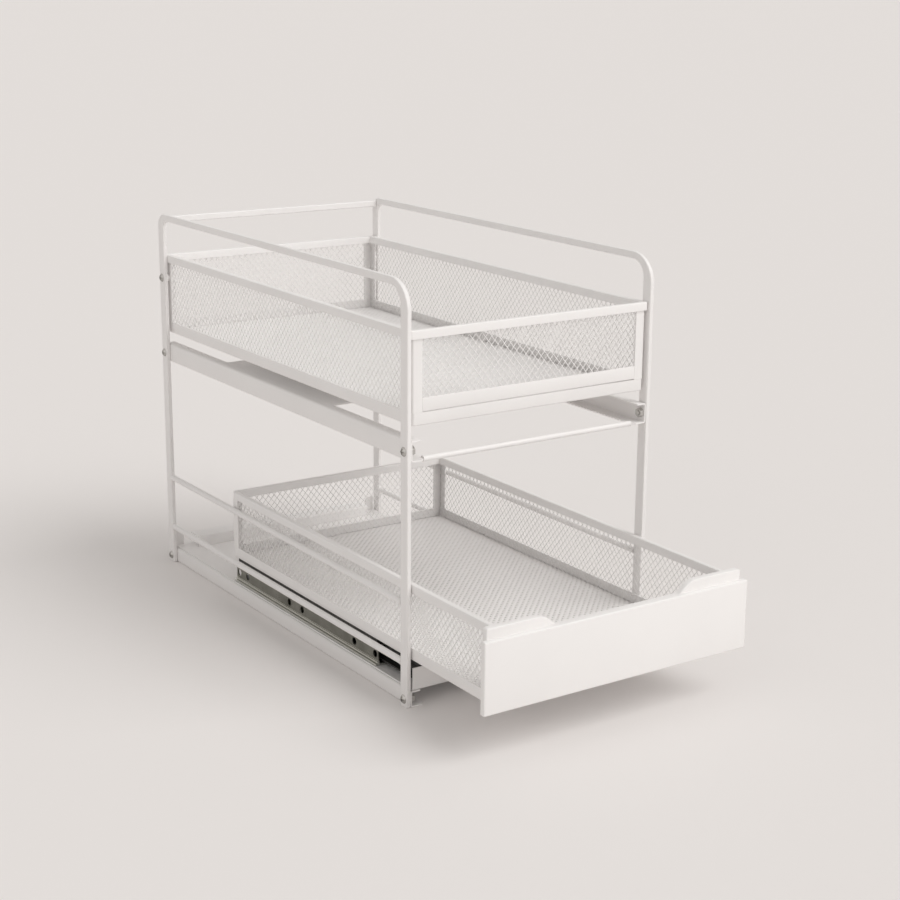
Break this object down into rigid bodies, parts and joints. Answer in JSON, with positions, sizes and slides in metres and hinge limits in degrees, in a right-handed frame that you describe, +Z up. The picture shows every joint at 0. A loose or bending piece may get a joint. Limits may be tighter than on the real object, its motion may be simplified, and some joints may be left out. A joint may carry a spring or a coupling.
{
  "type": "pull out cabinet basket",
  "caption": "Two tier organiser for a kitchen cabinet: a bent flat bar frame with a fixed mesh basket above and a mesh drawer on ball bearing slides below.",
  "frame": {"origin": "on the floor, in the middle of the footprint with the drawer part way out as pictured", "axes": "+Z up, +Y from the drawer's front towards the rear, +X across the width, to the right as seen from the front"},
  "size_m": [0.255, 0.549, 0.34],
  "materials": {
    "white_coat": "fine matte powder coat",
    "zinc_steel": "zinc plated",
    "dark_steel": "black, semi-matte",
    "fastener_steel": "nickel plated",
    "ball_steel": "polished",
    "stop_rubber": "matte"
  },
  "bodies": {
    "root": {"side_frame_left": "white_coat", "side_frame_right": "white_coat", "rear_top_rail": "white_coat", "guard_rod_left_upper": "white_coat", "guard_rod_left_lower": "white_coat", "guard_rod_right_upper": "white_coat", "guard_rod_right_lower": "white_coat", "shelf_rail_left": "white_coat", "shelf_rail_right": "white_coat", "shelf_tie_plate": "white_coat", "front_cross_rod": "white_coat", "base_rail_left": "white_coat", "base_rail_right": "white_coat", "base_tray": "white_coat", "frame_screws": "fastener_steel", "frame_nuts": "fastener_steel", "basket_rim": "white_coat", "basket_corner_posts": "white_coat", "basket_bottom_frame": "white_coat", "basket_front_sill": "white_coat", "basket_net_left": "white_coat", "basket_net_right": "white_coat", "basket_net_front": "white_coat", "basket_net_rear": "white_coat", "basket_net_floor": "white_coat", "basket_spacers": "white_coat", "basket_screws": "fastener_steel", "slide_rail_left": "dark_steel", "slide_rail_right": "dark_steel", "slide_rail_screws": "fastener_steel", "slide_stops": "stop_rubber"},
    "drawer": {"drawer_rim": "white_coat", "drawer_corner_posts": "white_coat", "drawer_bottom_frame": "white_coat", "drawer_front_sheet": "white_coat", "drawer_front_panel": "white_coat", "drawer_net_left": "white_coat", "drawer_net_right": "white_coat", "drawer_net_rear": "white_coat", "drawer_net_floor": "white_coat", "slide_channel_left": "zinc_steel", "slide_channel_right": "zinc_steel", "channel_mount_left": "dark_steel", "channel_mount_right": "dark_steel", "mount_rivets": "fastener_steel"},
    "cage_left": {"ball_cage_left": "zinc_steel", "balls_left": "ball_steel"},
    "cage_right": {"ball_cage_right": "zinc_steel", "balls_right": "ball_steel"}
  },
  "joints": [
    {"name": "drawer_slide", "type": "slide", "parent": "root", "child": "drawer", "axis": [0, -1, 0], "range_m": [-0.107, 0.0495]},
    {"name": "cage_left_slide", "type": "slide", "parent": "root", "child": "cage_left", "axis": [0, -1, 0], "range_m": [-0.0536, 0.0249]},
    {"name": "cage_right_slide", "type": "slide", "parent": "root", "child": "cage_right", "axis": [0, -1, 0], "range_m": [-0.0536, 0.0249]}
  ],
  "couplings": [
    {"joint": "cage_left_slide", "follows": "drawer_slide", "ratio": 0.5},
    {"joint": "cage_right_slide", "follows": "drawer_slide", "ratio": 0.5}
  ]
}
